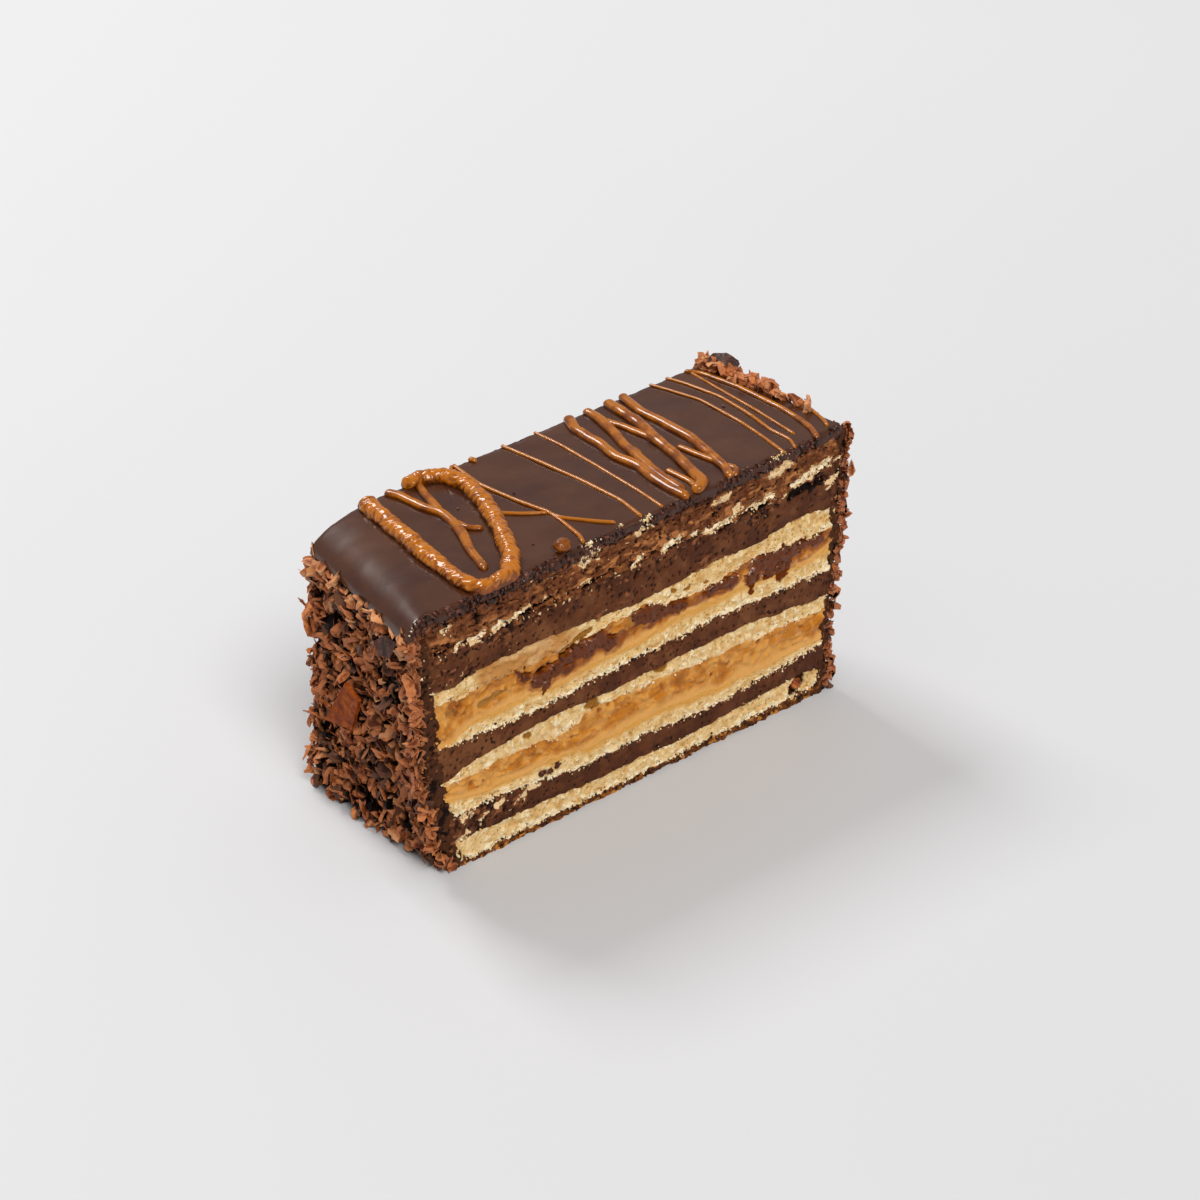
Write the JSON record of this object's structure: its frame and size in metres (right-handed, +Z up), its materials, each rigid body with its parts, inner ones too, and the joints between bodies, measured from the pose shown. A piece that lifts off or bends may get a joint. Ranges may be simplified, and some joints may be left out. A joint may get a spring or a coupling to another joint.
{
  "type": "dobos torte slice",
  "caption": "Bar slice of layered dobos torte: sponge sheets, chocolate cream, caramel, poured glaze with caramel drizzle, chocolate shavings on both ends.",
  "frame": {"origin": "under the middle of the slice, on the surface it stands on", "axes": "+X along the slice from its near end to its far end, +Y across it away from the shown cut face, +Z up"},
  "size_m": [0.1316, 0.048, 0.0687],
  "materials": {
    "base": "browned, crumbly sponge skin",
    "sponge": "matte, open crumb",
    "cream": "satin, lightly pored chocolate cream",
    "caramel": "soft, glossy and lumpy",
    "crumb": "rough chocolate cream with cake crumbs",
    "glaze": "smooth, semi-gloss dark chocolate",
    "shavings": "satin, curled milk and dark chocolate"
  },
  "bodies": {
    "root": {"browned_base": "base", "sponge_5": "sponge", "chocolate_cream_3": "cream", "sponge_4": "sponge", "caramel_2": "caramel", "sponge_3": "sponge", "chocolate_cream_2": "cream", "sponge_2": "sponge", "caramel_1": "caramel", "sponge_1": "sponge", "chocolate_cream_1": "cream", "crumbled_sponge": "sponge", "chocolate_crumb": "crumb", "chocolate_glaze": "glaze", "shavings_near_end": "shavings", "shavings_far_end": "shavings"}
  },
  "joints": []
}
